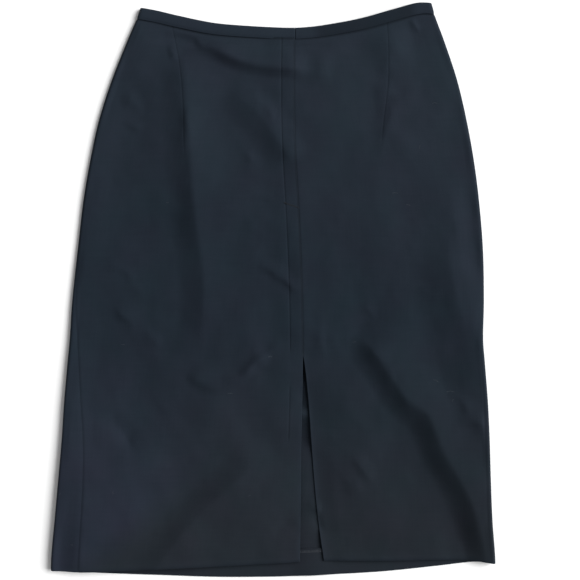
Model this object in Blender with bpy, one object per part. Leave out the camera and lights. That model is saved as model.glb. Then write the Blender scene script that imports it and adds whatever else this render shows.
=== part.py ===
"""A pencil skirt laid flat on its front, with its centre back zip and slit on top.

The skirt is a flattened tube of suiting. The front panel lies on the floor, turns over at both
sides and meets the two back panels there. The left back panel laps over the right one down the
centre back, over the zip, and the two part below to make the walking slit. Y runs from the hem
to the waist, X to the right and Z up, and the floor is z = 0. Sizes are in millimetres until
the last step, which places points in metres.
"""

import math

import bmesh
import bpy
from mathutils import Vector

MM = 0.001

# Cloth
WALL = 1.2  # one layer of suiting
BAND_WALL = 1.9  # the waistband, folded and stiffened
SEAM = 0.3  # gap left between two sewn pieces
EDGE_RADIUS = 3.3  # outer radius where the tube turns over at its sides
BAND_RADIUS = 3.7  # the same for the stiffer waistband
LOOSE = 6.0  # outer face of the upper layer where it lies loosely
PRESSED = 3.6  # the lowest that a valley brings that face
PRESSED_HEM = 5.0  # the same over the turned-up hem of the front
OVER_HEM, HEM_EASE = -296.0, 20.0  # where that starts, and how far up it eases off
EDGE_EASE = 34.0  # from the turned edge in to the loose height
BAND_HEIGHT = 13.0
HEM_DEPTH = 32.0  # turned up on the inside of the front
HEM_CLEAR = 12.0  # from the turned edges in to that hem

# Centre back
LAP_RAISE = 1.7  # the lap's face over the panel that it covers
LAP_WIDTH = 15.0  # from the lap's edge to its row of topstitching
LAP_EASE = 26.0  # in from there to the unraised cloth
LAP_END = -80.0  # the slit's top
LAP_SETTLES = 70.0  # the lap comes down over this length below it
CENTRE = 0.54  # the lap's place at the waist, as a share of the width
ZIP_INSET = 9.5  # the zip's middle, in from the lap's edge
ZIP_LENGTH = 206.0
ZIP_TO_BAND = 1.5
ZIP_TAPE = (25.0, 0.8)  # width, thickness
ZIP_COIL = (5.0, 1.6)
SLIDER = (7.5, 11.0, 1.3)  # width, length, thickness
SLIDER_DOWN = 4.0  # from the zip's top end

# Spacing of the modelled sections
ROWS = 44
TURN_STEP = 1.5
FLAT_STEP = 13.0
FOLDED_STEP = 9.0  # on the right back panel, which holds the largest fold
TURN_COLUMNS = 9
FLOOR_COLUMNS = 16
HEM_COLUMNS = 22
BAND_COLUMNS = 13  # on each half of the back
BAND_TURN = 6
BAND_ROWS = 2

CLOTH_COLOUR = (0.0195, 0.0255, 0.037)
ZIP_COLOUR = (0.012, 0.015, 0.022)

# The garment's width and its seams at each height, from the hem to the waist. The side seams are
# lengths of cloth round from the turned edges. The last two columns are how much higher than
# 2 * EDGE_RADIUS the tube stands where it turns over.
#   y, left edge, right edge, left seam, right seam, lap edge, right panel's edge, left and
#   right fullness
SECTIONS = (
    (-340.0, -259.6, 260.8, 34.0, 7.5, 31.6, 62.5, 2.4, 3.0),
    (-312.0, -258.9, 259.9, 34.0, 7.5, 31.9, 59.0, 3.4, 1.5),
    (-270.0, -255.1, 256.6, 33.0, 7.5, 32.4, 53.0, 3.8, 0.6),
    (-222.0, -250.8, 254.8, 31.0, 7.2, 33.0, 48.3, 3.6, 0.8),
    (-175.0, -246.8, 253.6, 27.0, 7.0, 33.4, 44.8, 3.0, 1.4),
    (-128.0, -243.8, 251.4, 21.0, 6.4, 34.6, 41.4, 2.2, 2.2),
    (-82.0, -239.8, 247.6, 14.5, 5.6, 35.2, 36.3, 1.4, 2.0),
    (-58.0, -237.6, 245.8, 11.0, 5.0, 35.2, 30.2, 0.9, 2.4),
    (-12.0, -234.6, 246.9, 6.0, 4.0, 34.6, 29.6, 0.2, 3.0),
    (47.0, -228.3, 245.9, 3.2, 3.2, 32.6, 27.6, 0.0, 2.4),
    (105.0, -221.6, 241.4, 2.6, 2.6, 29.8, 24.8, 0.0, 0.9),
    (152.0, -213.6, 235.4, 2.6, 2.6, 27.0, 22.0, 0.0, 0.2),
    (199.0, -203.3, 226.9, 2.6, 2.6, 25.4, 20.4, 0.0, 0.0),
    (246.0, -188.2, 215.8, 2.6, 2.6, 25.0, 20.0, 0.0, 0.0),
    (292.0, -170.0, 200.6, 2.6, 2.6, 25.4, 20.4, 0.0, 0.0),
    (318.0, -159.0, 190.9, 2.6, 2.6, 26.0, 21.0, 0.0, 0.0),
    (340.0, -151.5, 184.5, 2.6, 2.6, 26.4, 21.4, 0.0, 0.0),
)

# The garment's ends at each share of its width, from the left edge to the right.
#   share, top of the waistband, hem of the back, hem of the front
ENDS = (
    (0.0, 330.0, -327.9, -327.9),
    (0.06, 326.2, -329.0, -330.2),
    (0.125, 320.9, -328.6, -331.9),
    (0.25, 312.2, -325.7, -334.1),
    (0.375, 308.4, -323.2, -336.2),
    (0.5, 306.5, -319.8, -336.0),
    (0.56, 307.0, -318.0, -335.0),
    (0.625, 309.4, -316.8, -333.5),
    (0.75, 317.2, -316.6, -329.6),
    (0.875, 328.9, -315.8, -322.9),
    (0.95, 335.6, -316.2, -318.6),
    (1.0, 335.6, -319.6, -319.6),
)

# The largest folds. Walking along the spine, the cloth falls away quickly on the right hand and
# slowly on the left, and each fold fades in and out over a length of its own. The crest runs from
# 0, sharp, to 2, round.
#   name, rise, quick side, slow side, crest, fade in, fade out, spine
FOLDS = (
    ("under_band", 6.2, 13, 40, 0.6, 60, 36,
     ((-99, 300), (-82, 288), (-66, 281), (-50, 273), (-31, 266), (-13, 262), (8, 260),
      (51, 257))),
    ("seat_slant", 3.4, 28, 28, 0.9, 36, 16,
     ((-52, 236), (-38, 225), (-25, 213), (-11, 199), (3, 180), (16, 159), (24, 146))),
    ("left_dart", 5.0, 30, 44, 0.8, 40, 90,
     ((-104, 281), (-100, 222), (-97, 164), (-92, 105), (-85, 53), (-80, 6), (-82, -47),
      (-85, -96))),
    ("thigh_left", 2.4, 11, 30, 0.8, 16, 16,
     ((-101, -96), (-85, -106), (-66, -112), (-41, -103), (-20, -84), (-3, -73))),
    ("hem_left", 5.6, 31, 110, 1.0, 70, 50,
     ((-4, -177), (-31, -214), (-55, -236), (-77, -255), (-100, -280), (-126, -311))),
    ("slit_gape", 1.8, 40, 32, 1.8, 40, 40, ((9, -50), (9, -110), (8, -190))),
    ("hip_right", 5.0, 60, 24, 1.6, 50, 50,
     ((203, 146), (207, 99), (213, 58), (219, 23), (226, -12), (233, -47), (239, -82),
      (244, -126))),
    ("knee_right", 8.4, 28, 100, 1.0, 40, 90,
     ((95, -48), (110, -61), (125, -81), (141, -104), (155, -124), (166, -133), (180, -143),
      (189, -161), (199, -187), (219, -222), (233, -250), (242, -281), (248, -311),
      (252, -360))),
)
SPINE_STEPS = 7

QUARTER = EDGE_RADIUS * math.pi / 2
LEFT, RIGHT = -1, 1
OVER, UNDER = 2, 3  # columns of ENDS: the hem that a row of each layer ends at


def smooth(t):
    """Ease from 0 to 1."""
    t = min(max(t, 0.0), 1.0)
    return t * t * (3 - 2 * t)


def read(table, column, at):
    """One column of a table at any height or share, on a smooth curve through its rows."""
    last = len(table) - 1
    i = next((k for k in range(last) if at <= table[k + 1][0]), last - 1)
    x0, x1 = table[i][0], table[i + 1][0]
    y0, y1 = table[i][column], table[i + 1][column]

    def slope(k):
        a, b = max(k - 1, 0), min(k + 1, last)
        return (table[b][column] - table[a][column]) / (table[b][0] - table[a][0])

    span = x1 - x0
    t = min(max((at - x0) / span, 0.0), 1.0)
    fast, slow = t * t * (3 - 2 * t), t * (1 - t)
    return (
        y0 * (1 - fast)
        + y1 * fast
        + span * slow * ((1 - t) * slope(i) - t * slope(i + 1))
    )


def left_edge(y):
    return read(SECTIONS, 1, y)


def right_edge(y):
    return read(SECTIONS, 2, y)


def fullness(side, y):
    return read(SECTIONS, 7 if side == LEFT else 8, y)


def side_seam(side, y):
    """The side seam's place, as a length of cloth round from the turned edge."""
    return read(SECTIONS, 3 if side == LEFT else 4, y)


def lap_edge(y):
    return read(SECTIONS, 5, y)


def under_edge(y):
    return read(SECTIONS, 6, y)


def level(layer, row, share):
    """The height up the skirt of a row, from 0 at the hem to 1 at the waistband's seam."""
    top = read(ENDS, 1, share) - BAND_HEIGHT
    return read(ENDS, layer, share) * (1 - row) + top * row


def level_of_line(line, layer, row):
    """Where a row crosses a line that runs up the skirt."""
    share = CENTRE
    for _ in range(3):
        y = level(layer, row, share)
        share = (line(y) - left_edge(y)) / (right_edge(y) - left_edge(y))
    return y


def locate(side, inset, layer, row):
    """X and Y of a point this far in from one edge."""
    share = inset / 450.0
    for _ in range(3):
        y = level(layer, row, share if side == LEFT else 1 - share)
        share = inset / (right_edge(y) - left_edge(y))
    x = left_edge(y) + inset if side == LEFT else right_edge(y) - inset
    return x, y


def smooth_line(points):
    """A smooth curve through a spine's points."""
    ends = [points[0], *points, points[-1]]
    line = []
    for a, b, c, d in zip(ends, ends[1:], ends[2:], ends[3:]):
        for step in range(SPINE_STEPS):
            t = step / SPINE_STEPS
            line.append(
                Vector(
                    [
                        0.5 * (2 * q + (r - p) * t + (2 * p - 5 * q + 4 * r - s) * t * t
                               + (3 * q - p - 3 * r + s) * t ** 3)
                        for p, q, r, s in zip(a, b, c, d)
                    ]
                )
            )
    return line + [Vector(points[-1])]


def fold_height(fold, spine, place):
    """What one fold adds at a place."""
    _, rise, quick, slow, crest, fade_in, fade_out, _ = fold
    best, walked = None, 0.0
    for a, b in zip(spine, spine[1:]):
        run = b - a
        t = min(max((place - a).dot(run) / run.length_squared, 0.0), 1.0)
        away = place - a - run * t
        if best is None or away.length_squared < best.length_squared:
            best, here = away, walked + t * run.length
            to_the_left = run.x * away.y - run.y * away.x > 0
        walked += run.length
    across = min(best.length / (slow if to_the_left else quick), 1.0)
    height = rise * (1 - across) ** 2 * (1 + crest * across)
    return height * smooth(here / fade_in) * smooth((walked - here) / fade_out)


SPINES = [smooth_line(fold[-1]) for fold in FOLDS]


def upper_face(x, y):
    """Height of the upper layer's outer face, and of the turned edges where they are highest."""
    height, place = LOOSE, Vector((x, y))
    for side, inset in ((LEFT, x - left_edge(y)), (RIGHT, right_edge(y) - x)):
        turned = 2 * EDGE_RADIUS + fullness(side, y)
        height += (turned - LOOSE) * (1 - smooth((inset - EDGE_RADIUS) / EDGE_EASE))
    height += sum(fold_height(fold, spine, place) for fold, spine in zip(FOLDS, SPINES))
    over_hem = 1 - smooth((y - OVER_HEM) / HEM_EASE)
    return max(height, PRESSED + (PRESSED_HEM - PRESSED) * over_hem)


def lap_raise(x, y):
    """The left back panel is lifted by the seam allowances and the panel under its lap."""
    raised = LAP_RAISE * smooth((x - lap_edge(y) + LAP_WIDTH + LAP_EASE) / LAP_EASE)
    return raised * smooth((y - LAP_END) / LAP_SETTLES + 1)


def wrapped(side, along, row, depth, lapped=False):
    """A point of the cloth, `along` round from the turned edge and `depth` in from its face.

    It is on the upper layer if `along` is positive, and underneath, on the floor, if negative.
    """
    layer = OVER if along > 0 else UNDER
    if abs(along) <= QUARTER:
        angle, radius = along / EDGE_RADIUS, EDGE_RADIUS - depth
        x, y = locate(side, EDGE_RADIUS - radius * math.cos(angle), layer, row)
        lift = (upper_face(x, y) - 2 * EDGE_RADIUS) * (1 + math.sin(angle)) / 2
        return x, y, EDGE_RADIUS + radius * math.sin(angle) + lift
    x, y = locate(side, EDGE_RADIUS + abs(along) - QUARTER, layer, row)
    if layer == UNDER:
        return x, y, depth
    return x, y, upper_face(x, y) - depth + (lap_raise(x, y) if lapped else 0.0)


def along_to(side, line, row):
    """The length of cloth from one turned edge to a line that runs up the back."""
    y = level_of_line(line, OVER, row)
    inset = line(y) - left_edge(y) if side == LEFT else right_edge(y) - line(y)
    return inset - EDGE_RADIUS + QUARTER


def seam_along(side, row):
    """The length of cloth from a turned edge to its side seam."""
    share = 0.03 if side == LEFT else 0.97
    return side_seam(side, level(OVER, row, share))


def crowd(along, flat_step):
    """Counts sections round from the edge, close together where the cloth turns."""
    turned = min(abs(along), QUARTER) / TURN_STEP
    flat = max(abs(along) - QUARTER, 0.0) / flat_step
    return math.copysign(turned + flat, along)


def uncrowd(count, flat_step):
    """The length of cloth that holds this many sections."""
    turned = min(abs(count), QUARTER / TURN_STEP)
    flat = abs(count) - turned
    return math.copysign(turned * TURN_STEP + flat * flat_step, count)


def spread(start, end, share, flat_step):
    a, b = crowd(start, flat_step), crowd(end, flat_step)
    return uncrowd(a + (b - a) * share, flat_step)


def material(name, colour, roughness):
    made = bpy.data.materials.new(name)
    made.use_nodes = True
    shader = made.node_tree.nodes["Principled BSDF"]
    shader.inputs["Base Color"].default_value = (*colour, 1.0)
    shader.inputs["Roughness"].default_value = roughness
    shader.inputs["Metallic"].default_value = 0.0
    return made


def add_object(name, form, finish):
    mesh = bpy.data.meshes.new(name)
    form.to_mesh(mesh)
    form.free()
    mesh.materials.append(finish)
    made = bpy.data.objects.new(name, mesh)
    bpy.context.collection.objects.link(made)
    return made


def cloth(name, columns, rows, place, wall, finish):
    """A wall of cloth: a grid drawn out into two faces.

    `place` puts each of their points, from its column and row as shares and its depth in from
    the outer face.
    """
    form = bmesh.new()
    bmesh.ops.create_grid(form, x_segments=columns, y_segments=rows, size=0.5)
    drawn = bmesh.ops.extrude_face_region(form, geom=form.faces[:], use_keep_orig=True)["geom"]
    lining = {item for item in drawn if isinstance(item, bmesh.types.BMVert)}
    for vert in form.verts:
        column = round((vert.co.x + 0.5) * columns) / columns
        row = round((vert.co.y + 0.5) * rows) / rows
        vert.co = Vector(place(column, row, wall if vert in lining else 0.0)) * MM
    bmesh.ops.recalc_face_normals(form, faces=form.faces)
    made = add_object(name, form, finish)
    made.data.shade_smooth()
    made.data.set_sharp_from_angle(angle=math.radians(40))
    return made


def front_panel(finish):
    """From the right side seam, under the skirt along the floor, to the left side seam."""
    total = 2 * TURN_COLUMNS + FLOOR_COLUMNS

    def place(column, row, depth):
        at = round(column * total)
        side = RIGHT if at < total / 2 else LEFT
        step = at if side == RIGHT else total - at
        if step <= TURN_COLUMNS:
            seam = seam_along(side, row) - SEAM / 2
            along = spread(seam, -QUARTER, step / TURN_COLUMNS, FLAT_STEP)
            return wrapped(side, along, row, depth)
        share = (at - TURN_COLUMNS) / FLOOR_COLUMNS
        right = wrapped(RIGHT, -QUARTER, row, depth)
        left = wrapped(LEFT, -QUARTER, row, depth)
        x = right[0] + (left[0] - right[0]) * share
        across = (x - left_edge(left[1])) / (right_edge(right[1]) - left_edge(left[1]))
        return x, level(UNDER, row, across), depth

    return cloth("front_panel", total, ROWS, place, WALL, finish)


def front_hem(finish):
    """The front's hem, turned up on its inside."""

    def place(column, row, depth):
        share = column
        for _ in range(3):
            y = level(UNDER, 0.0, share) + HEM_DEPTH * row
            left, right = left_edge(y), right_edge(y)
            x = left + HEM_CLEAR + (right - left - 2 * HEM_CLEAR) * column
            share = (x - left) / (right - left)
        return x, y, 2 * WALL + SEAM - depth

    return cloth("front_hem", HEM_COLUMNS, 2, place, WALL, finish)


def back_left(finish):
    """From the left side seam to the lap's edge, and the slit's edge below it."""

    def place(column, row, depth):
        start = seam_along(LEFT, row) + SEAM / 2
        end = along_to(LEFT, lap_edge, row)
        return wrapped(LEFT, spread(start, end, column, FLAT_STEP), row, depth, lapped=True)

    return cloth("back_left", 24, ROWS, place, WALL, finish)


def back_right(finish):
    """From under the lap to the right side seam."""

    def place(column, row, depth):
        start = along_to(RIGHT, under_edge, row)
        end = seam_along(RIGHT, row) + SEAM / 2
        return wrapped(RIGHT, spread(start, end, column, FOLDED_STEP), row, depth)

    return cloth("back_right", 26, ROWS, place, WALL, finish)


def waistband(finish):
    """A flattened ring above both panels, open at the centre back over the zip."""
    total = 2 * (BAND_COLUMNS + BAND_TURN) + FLOOR_COLUMNS

    def place(column, row, depth):
        at = round(column * total)
        side = RIGHT if at < total / 2 else LEFT
        step = at if side == RIGHT else total - at
        corner = read(ENDS, 1, 1.0 if side == RIGHT else 0.0) - BAND_HEIGHT * (1 - row)
        left, right = left_edge(corner), right_edge(corner)
        shoulder = (right if side == RIGHT else left) - side * BAND_RADIUS
        split = lap_edge(corner) + side * SEAM
        radius = BAND_RADIUS - depth
        if step <= BAND_COLUMNS:
            x = split + (shoulder - split) * step / BAND_COLUMNS
            z = BAND_RADIUS + radius
        elif step <= BAND_COLUMNS + BAND_TURN:
            angle = math.pi / 2 - math.pi * (step - BAND_COLUMNS) / BAND_TURN
            x = shoulder + side * radius * math.cos(angle)
            z = BAND_RADIUS + radius * math.sin(angle)
        else:
            share = (step - BAND_COLUMNS - BAND_TURN) / (FLOOR_COLUMNS / 2)
            x, z = shoulder + ((left + right) / 2 - shoulder) * share, depth
        top = read(ENDS, 1, (x - left) / (right - left))
        return x, top - (BAND_HEIGHT - SEAM) * (1 - row), z

    return cloth("waistband", total, BAND_ROWS, place, BAND_WALL, finish)


def zip_tape(finish):
    """The closed zip under the lap: its tape and coil in one strip."""
    width, tape = ZIP_TAPE[0] / 2, ZIP_TAPE[1]
    coil, tall = ZIP_COIL[0] / 2, ZIP_COIL[1]
    profile = (
        (-width, 0.0), (width, 0.0), (width, tape), (coil, tape), (coil * 0.6, tape + tall),
        (-coil * 0.6, tape + tall), (-coil, tape), (-width, tape),
    )
    form = bmesh.new()
    ring = [form.verts.new(Vector((x, 0.0, z)) * MM) for x, z in profile]
    face = form.faces.new(ring)
    drawn = bmesh.ops.extrude_face_region(form, geom=[face])["geom"]
    ends = [item for item in drawn if isinstance(item, bmesh.types.BMVert)]
    bmesh.ops.translate(form, verts=ends, vec=(0.0, ZIP_LENGTH * MM, 0.0))
    bmesh.ops.recalc_face_normals(form, faces=form.faces)
    return place_on_zip_line(add_object("zip_tape", form, finish), 0.0, WALL + SEAM)


def zip_slider(finish):
    """The slider, at the closed zip's top."""
    _, long, tall = SLIDER
    form = bmesh.new()
    bmesh.ops.create_cube(form, size=1.0)
    bmesh.ops.scale(form, vec=Vector(SLIDER) * MM, verts=form.verts)
    nose = [vert for vert in form.verts if vert.co.y < 0]
    bmesh.ops.scale(form, vec=(0.62, 1.0, 1.0), verts=nose)
    bmesh.ops.translate(form, vec=Vector((0.0, -long / 2, tall / 2)) * MM, verts=form.verts)
    bmesh.ops.bevel(
        form, geom=form.edges[:], offset=0.35 * MM, segments=1, affect="EDGES", profile=0.5,
        material=-1,
    )
    height = WALL + ZIP_TAPE[1] + ZIP_COIL[1] + 2 * SEAM
    made = add_object("zip_slider", form, finish)
    return place_on_zip_line(made, ZIP_LENGTH - SLIDER_DOWN, height)


def place_on_zip_line(made, up, height):
    """Puts a piece on the zip's middle line, this far up from its lower end."""
    top = level(OVER, 1.0, CENTRE) - ZIP_TO_BAND
    low = Vector((lap_edge(top - ZIP_LENGTH) - ZIP_INSET, top - ZIP_LENGTH))
    run = Vector((lap_edge(top) - ZIP_INSET, top)) - low
    turn = math.atan2(-run.x, run.y)
    place = low + run.normalized() * up
    made.location = Vector((place.x, place.y, height)) * MM
    made.rotation_euler = (0.0, 0.0, turn)
    return made


def main():
    for old in list(bpy.data.objects):
        bpy.data.objects.remove(old, do_unlink=True)
    suiting = material("suiting", CLOTH_COLOUR, 0.85)
    zip_fabric = material("zip", ZIP_COLOUR, 0.6)
    skirt = bpy.data.objects.new("skirt", None)
    bpy.context.collection.objects.link(skirt)
    pieces = [
        front_panel(suiting),
        front_hem(suiting),
        back_left(suiting),
        back_right(suiting),
        waistband(suiting),
        zip_tape(zip_fabric),
        zip_slider(zip_fabric),
    ]
    for piece in pieces:
        piece.parent = skirt


main()
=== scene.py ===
"""The looks of a pencil skirt laid flat on its front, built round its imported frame.

The cloth repeats the form of the frame's solids in a finer grid and a thinner wall, and adds the
small creases, the rolled edges, the darts, the stitching and the lint. Y runs from the hem to the
waist, X to the right and Z up, and the floor is z = 0. Tables are in millimetres, and the last
step places points in metres.
"""

import math
from functools import partial

import bmesh
import bpy
import numpy as np
from mathutils import Matrix, Vector, noise


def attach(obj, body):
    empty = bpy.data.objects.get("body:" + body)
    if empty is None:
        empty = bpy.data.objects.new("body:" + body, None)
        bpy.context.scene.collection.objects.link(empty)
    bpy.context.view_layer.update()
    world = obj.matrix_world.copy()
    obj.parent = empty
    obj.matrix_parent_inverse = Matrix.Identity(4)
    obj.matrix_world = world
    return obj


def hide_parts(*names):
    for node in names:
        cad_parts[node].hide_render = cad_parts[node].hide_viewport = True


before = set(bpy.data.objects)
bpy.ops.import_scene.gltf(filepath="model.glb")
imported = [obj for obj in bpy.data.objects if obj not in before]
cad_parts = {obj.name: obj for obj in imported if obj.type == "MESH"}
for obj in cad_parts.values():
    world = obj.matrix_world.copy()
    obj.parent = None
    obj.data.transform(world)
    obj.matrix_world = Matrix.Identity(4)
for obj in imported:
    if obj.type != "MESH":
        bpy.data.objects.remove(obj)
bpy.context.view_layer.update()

bl_info = {
    "name": "Pencil Skirt",
    "version": (1, 0, 0),
    "blender": (4, 5, 0),
    "location": "3D View > Sidebar > Skirt",
    "description": "Dresses the frame of a pencil skirt laid flat: cloth, stitching, zip and stage",
    "category": "Object",
}

MM = 0.001
LEFT, RIGHT = -1, 1
OVER, UNDER = 2, 3  # columns of ENDS: the hem that a row of each layer ends at

# The lie of the cloth
EDGE_RADIUS = 3.3  # where the tube turns over at its sides
BAND_RADIUS = 3.7  # where the waistband does
LOOSE = 6.0  # outer face of the upper layer where it lies loosely
PRESSED = 3.6  # the lowest that a valley brings that face
PRESSED_HEM = 5.0  # the same over the turned-up hem of the front
OVER_HEM, HEM_EASE = -296.0, 20.0  # where that starts, and how far up it eases off
EDGE_EASE = 34.0  # from the turned edge in to the loose height
BAND_HEIGHT = 13.0
HEM_DEPTH = 32.0  # turned up on the inside of the front
HEM_CLEAR = 6.0  # from the turned edges in to that hem
LIP, LIP_DEPTH = 1.85, 1.5  # the fold at the front's hem: its thickness, and how far up it goes
LAP_RAISE = 1.7  # what lies under the lap lifts it
LAP_WIDTH = 15.0  # from the lap's edge to its topstitching
LAP_END = -80.0  # the slit's top
LAP_SETTLES = 70.0  # the lap comes down over this length below it
LAP_EASE = 26.0  # from the loose height up to the topstitching
CENTRE = 0.54  # the back opens at about this share of the width
CREASE_EDGE = 7.0  # from the turned edges in to where the creases are full
QUARTER = EDGE_RADIUS * math.pi / 2
SEAM_SHARE = 0.03  # the side seams are read at about this share in from the edges
FIRST_WIDTH = 450.0  # a first guess of the garment's width
ROUNDS = 3  # a place that depends on itself is worked out this often

# How the slit's right edge rests on the front
LAID_GAP = 0.15
LAID_WIDTH = 26.0  # in from that edge
LAID_TOP, LAID_EASE = -180.0, 20.0  # it lifts off above this

# How the waistband holds the panels
HELD_HEIGHT = 6.3  # of the upper layer's outer face at its seam
HOLD = 14.0  # the folds die out this close to it
UNDER_BAND = 1.3  # how far they go up under it

# Small forms
SEAM = 0.04  # gap between two sewn pieces, closer than the frame's
THINNEST = 0.3  # what is left of a wall beside its seam
ALLOWANCE, ALLOWANCE_EASE = 11.0, 4.0  # cloth is doubled this far in from a folded edge
RAW_LIFT, RAW_EASE = 0.4, 9.0  # the overlocked edge stands off the cloth
EDGE_ROLL = 0.58  # radius of an ironed edge
ROLL_SHARE = 0.9  # how far a folded edge closes to a point
TUCK, TUCK_WIDTH = 0.65, 3.2  # beside the waistband's seam
SIDE_TUCK = 0.45  # the side seams' share of that
LAP_SHADE, LAP_SHADE_WIDTH = 0.8, 2.2  # painted shade beside the lap's edge
SLIT_SHADE, SLIT_EASE = 0.35, 9.0  # share of that beside the slit
WAIST_SHADE = 0.68  # and share of that near the waist
SHADE_LIGHTER_ABOVE, SHADE_LIGHTER_EASE = 150.0, 36.0  # the painted shade at the lap's edge is lighter above this
BAND_SHADE, BAND_SHADED, SHADE_EASE = 0.5, (45.0, 172.0), 14.0  # painted shade on a stretch of the band
HEM_SHADE, HEM_SHADE_WIDTH = 0.6, 5.0
DART_DIP, DART_WIDTH = 0.22, 0.9
STITCH_DIP, STITCH_WIDTH, STITCH_EASE = 0.3, 0.75, 3.0  # the last is at a row's ends
UNDULATION = ((1.9, 74.0), (0.9, 34.0), (0.22, 14.0))  # height, size
RIDGES = ((0.7, 52.0), (0.3, 24.0))
WANDER, WANDER_SIZE = 6.0, 19.0  # how far the small creases stray
FITFUL, FITFUL_SIZE = 0.6, 15.0  # how much they come and go
CLOTH_SEED, BAND_SEED, RIDGE_SEED = 0.5, 7.0, 2.0
WANDER_SEEDS, FITFUL_SEED = (3.5, 7.5), 11.5
SHARP = 50.0  # degrees, past which an edge is creased
BAND_WAVE = 0.35  # of the cloth's own unevenness
BAND_SPLIT = 0.02  # from its centre back opening to either end
WEAR_WIDTH = 2.5  # in from a folded edge
SPINE_STEPS = 7  # from each point of a spine to the next
CREST_ROUND, CREASE_ROUND = 1.6, 0.8  # rounds even the sharpest crest of a fold or a crease

# Grids
PANEL_LENGTH = 640.0
BACK_ROWS, FRONT_ROWS, HEM_ROWS, BAND_ROWS = 220, 150, 8, 5
LEFT_COLUMNS, RIGHT_COLUMNS = (54, 46, 4), (44, 48)
TURN_STEP, FLAT_STEP = 0.65, 2.6
TURN_COLUMNS, FLOOR_COLUMNS, HEM_COLUMNS = 22, 150, 200
BAND_BACK, BAND_TURN, BAND_FLOOR = 80, 16, 50
LIP_STEPS = (0.0, 0.12, 0.35, 0.65, 1.0, 1.4, 1.6, 2.6, 4.5)  # up from the front's folded hem
HEM_STEPS = (0.0, 0.4)  # up from that fold, on the turned-up hem
BAND_FOLD_STEPS = (0.0, 0.1, 0.3, 0.6, 1.0, 1.8)
EDGE_STEPS = (0.0, 0.1, 0.3, 0.55, 0.85, 1.3, 2.0, 3.2, 5.0)  # in from an edge or a hem
SEAM_STEPS = (0.0, 0.45, 0.95, 1.5, 2.1, 2.8, 3.6, 4.6, 6.0)  # in from a sewn seam
UNDER_BAND_STEPS, BAND_SEAM_STEPS = (-UNDER_BAND, *SEAM_STEPS), SEAM_STEPS[:5]
LINE_STEPS = (-3.2, -1.8, -0.95, -0.45, 0.0, 0.45, 0.95, 1.8, 3.2)  # across a line of stitching

# The garment's width and its seams at each height, from the hem to the waist. The side seams are
# lengths of cloth round from the turned edges. The last two columns are how much higher than
# 2 * EDGE_RADIUS the tube stands where it turns over.
#   y, left edge, right edge, left seam, right seam, lap edge, right panel's edge, left and
#   right fullness
SECTIONS = (
    (-340.0, -259.6, 260.8, 34.0, 7.5, 31.6, 62.5, 2.4, 3.0),
    (-312.0, -258.9, 259.9, 34.0, 7.5, 31.9, 59.0, 3.4, 1.5),
    (-270.0, -255.1, 256.6, 33.0, 7.5, 32.4, 53.0, 3.8, 0.6),
    (-222.0, -250.8, 254.8, 31.0, 7.2, 33.0, 48.3, 3.6, 0.8),
    (-175.0, -246.8, 253.6, 27.0, 7.0, 33.4, 44.8, 3.0, 1.4),
    (-128.0, -243.8, 251.4, 21.0, 6.4, 34.6, 41.4, 2.2, 2.2),
    (-82.0, -239.8, 247.6, 14.5, 5.6, 35.2, 36.3, 1.4, 2.0),
    (-58.0, -237.6, 245.8, 11.0, 5.0, 35.2, 30.2, 0.9, 2.4),
    (-12.0, -234.6, 246.9, 6.0, 4.0, 34.6, 29.6, 0.2, 3.0),
    (47.0, -228.3, 245.9, 3.2, 3.2, 32.6, 27.6, 0.0, 2.4),
    (105.0, -221.6, 241.4, 2.6, 2.6, 29.8, 24.8, 0.0, 0.9),
    (152.0, -213.6, 235.4, 2.6, 2.6, 27.0, 22.0, 0.0, 0.2),
    (199.0, -203.3, 226.9, 2.6, 2.6, 25.4, 20.4, 0.0, 0.0),
    (246.0, -188.2, 215.8, 2.6, 2.6, 25.0, 20.0, 0.0, 0.0),
    (292.0, -170.0, 200.6, 2.6, 2.6, 25.4, 20.4, 0.0, 0.0),
    (318.0, -159.0, 190.9, 2.6, 2.6, 26.0, 21.0, 0.0, 0.0),
    (340.0, -151.5, 184.5, 2.6, 2.6, 26.4, 21.4, 0.0, 0.0),
)

# The garment's ends at each share of its width, from the left edge to the right.
#   share, top of the waistband, hem of the back, hem of the front
ENDS = (
    (0.0, 330.0, -327.9, -327.9),
    (0.06, 326.2, -329.0, -330.2),
    (0.125, 320.9, -328.6, -331.9),
    (0.25, 312.2, -325.7, -334.1),
    (0.375, 308.4, -323.2, -336.2),
    (0.5, 306.5, -319.8, -336.0),
    (0.56, 307.0, -318.0, -335.0),
    (0.625, 309.4, -316.8, -333.5),
    (0.75, 317.2, -316.6, -329.6),
    (0.875, 328.9, -315.8, -322.9),
    (0.95, 335.6, -316.2, -318.6),
    (1.0, 335.6, -319.6, -319.6),
)

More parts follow.
